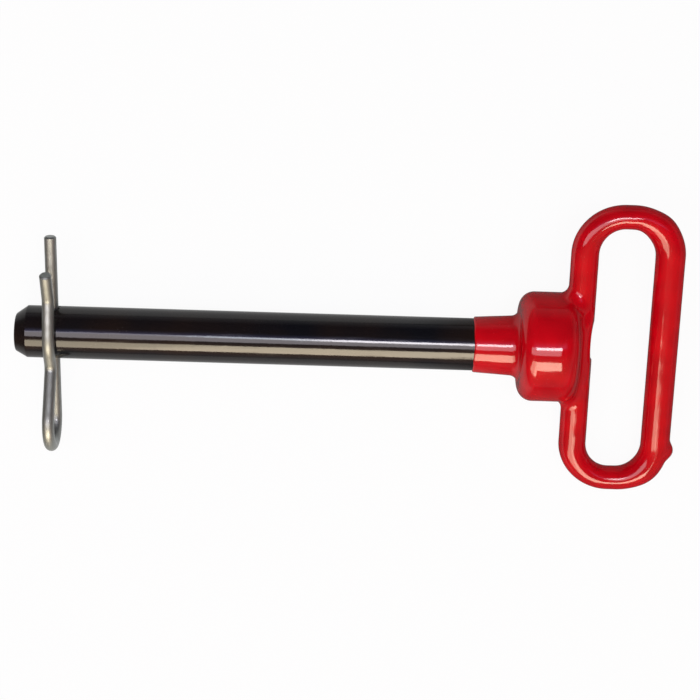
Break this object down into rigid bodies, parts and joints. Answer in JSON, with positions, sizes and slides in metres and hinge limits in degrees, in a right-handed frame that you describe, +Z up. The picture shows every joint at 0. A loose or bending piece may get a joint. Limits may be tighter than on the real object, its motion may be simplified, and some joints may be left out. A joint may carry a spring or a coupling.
{
  "type": "hitch pin",
  "caption": "Straight steel drawbar pin with a round collar, a coated loop handle and a spring hairpin clip through a cross hole near its tip.",
  "frame": {"origin": "on the surface that the pin lies on, below the middle of its bounding box", "axes": "+X from the tip to the handle, +Y along the long side of the loop, +Z up; the shank's axis rises 3.3 degrees towards the handle and the loop is turned 14.4 degrees about it"},
  "size_m": [0.2422, 0.1058, 0.0406],
  "materials": {
    "black_steel": "black lacquered steel, turned, glossy",
    "rod_steel": "bare drawn rod and weld metal",
    "red_dip": "soft dipped coating, red, very glossy",
    "plated_wire": "bright zinc plated spring wire"
  },
  "bodies": {
    "pin": {"forged_pin": "black_steel", "handle_loop": "rod_steel", "handle_weld": "rod_steel", "handle_coating": "red_dip"},
    "clip": {"hairpin_clip": "plated_wire"}
  },
  "joints": [
    {"name": "clip_pull", "type": "slide", "parent": "pin", "child": "clip", "axis": [0.0299, -0.9685, -0.2473], "range_m": [0, 0.06], "deforming": ["hairpin_clip"]}
  ]
}
